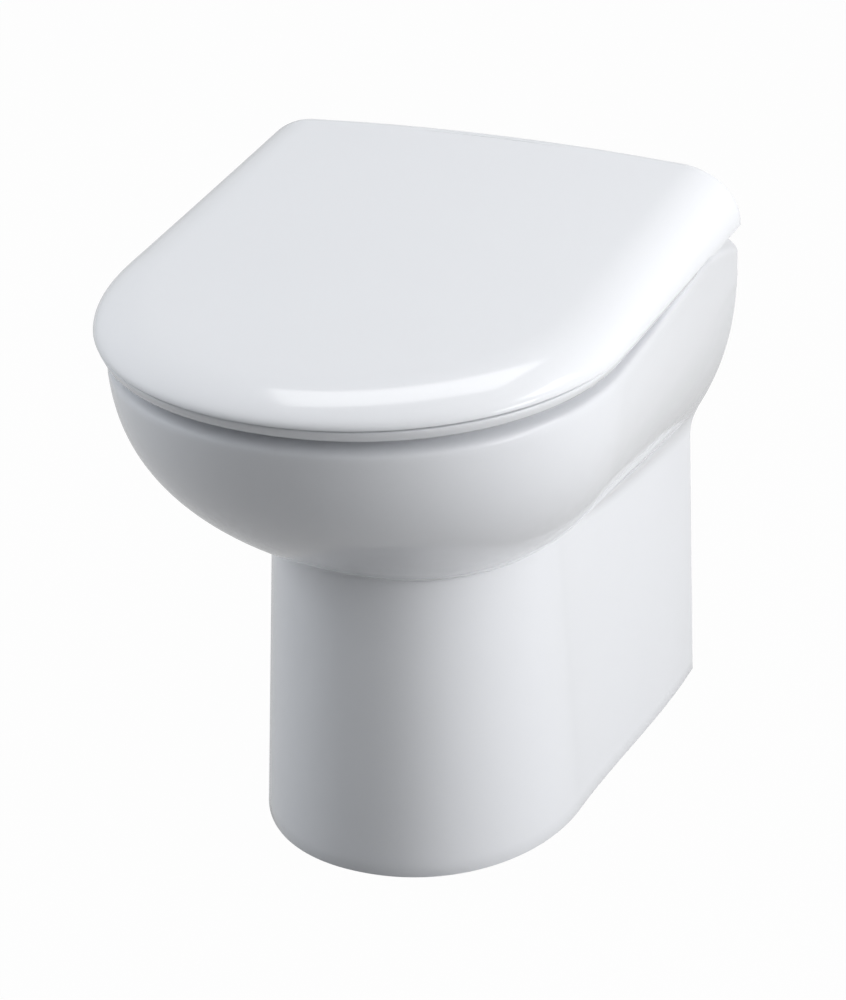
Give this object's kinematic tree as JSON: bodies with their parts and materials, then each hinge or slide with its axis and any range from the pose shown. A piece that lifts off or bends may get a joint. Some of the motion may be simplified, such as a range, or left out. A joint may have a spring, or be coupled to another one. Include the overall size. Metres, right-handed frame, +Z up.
{
  "type": "back to wall toilet",
  "caption": "Back to wall toilet: ceramic pan on a D-shaped foot, with a soft-closing seat ring and rounded lid on metal hinge posts.",
  "frame": {"origin": "on the floor, under the middle of the toilet's outline", "axes": "+Z up, +Y towards the wall, -Y to the front of the bowl, +X to the right as seen from the front"},
  "size_m": [0.374, 0.488, 0.4568],
  "materials": {
    "china": "white glaze, glossy",
    "seat_plastic": "white thermoset, high gloss",
    "buffer": "soft translucent white",
    "damper": "fine satin",
    "rubber": "matt black",
    "white_plastic": "natural white, satin",
    "steel": "zinc plated or stainless, satin",
    "chrome": "polished chrome"
  },
  "bodies": {
    "pan": {"skirt": "china", "bowl": "china", "trap_entry_bend": "china", "trap_climb": "china", "trap_fall": "china", "trap_outlet_bend": "china", "outlet_spigot": "china", "inlet_horn": "china", "foot_lugs": "china", "flush_cone": "rubber", "stud_bushes": "rubber", "floor_sleeves": "white_plastic", "stud_washers": "white_plastic", "wing_nuts": "white_plastic", "floor_washers": "steel", "floor_screws": "steel", "hinge_studs": "steel", "hinge_pin_left": "steel", "hinge_pin_right": "steel", "hinge_post_left": "chrome", "hinge_post_right": "chrome", "rosette_left": "chrome", "rosette_right": "chrome"},
    "seat": {"seat_ring": "seat_plastic", "seat_buffers_front": "buffer", "seat_buffers_rear": "buffer", "damper_left": "damper", "damper_right": "damper"},
    "lid": {"lid": "seat_plastic", "lid_buffers": "buffer"}
  },
  "joints": [
    {"name": "seat_hinge", "type": "hinge", "parent": "pan", "child": "seat", "pos_m": [0, 0.192, 0.432], "axis": [-1, 0, 0], "range_deg": [0, 94]},
    {"name": "lid_hinge", "type": "hinge", "parent": "seat", "child": "lid", "pos_m": [0, 0.192, 0.432], "axis": [-1, 0, 0], "range_deg": [0, 94]}
  ]
}
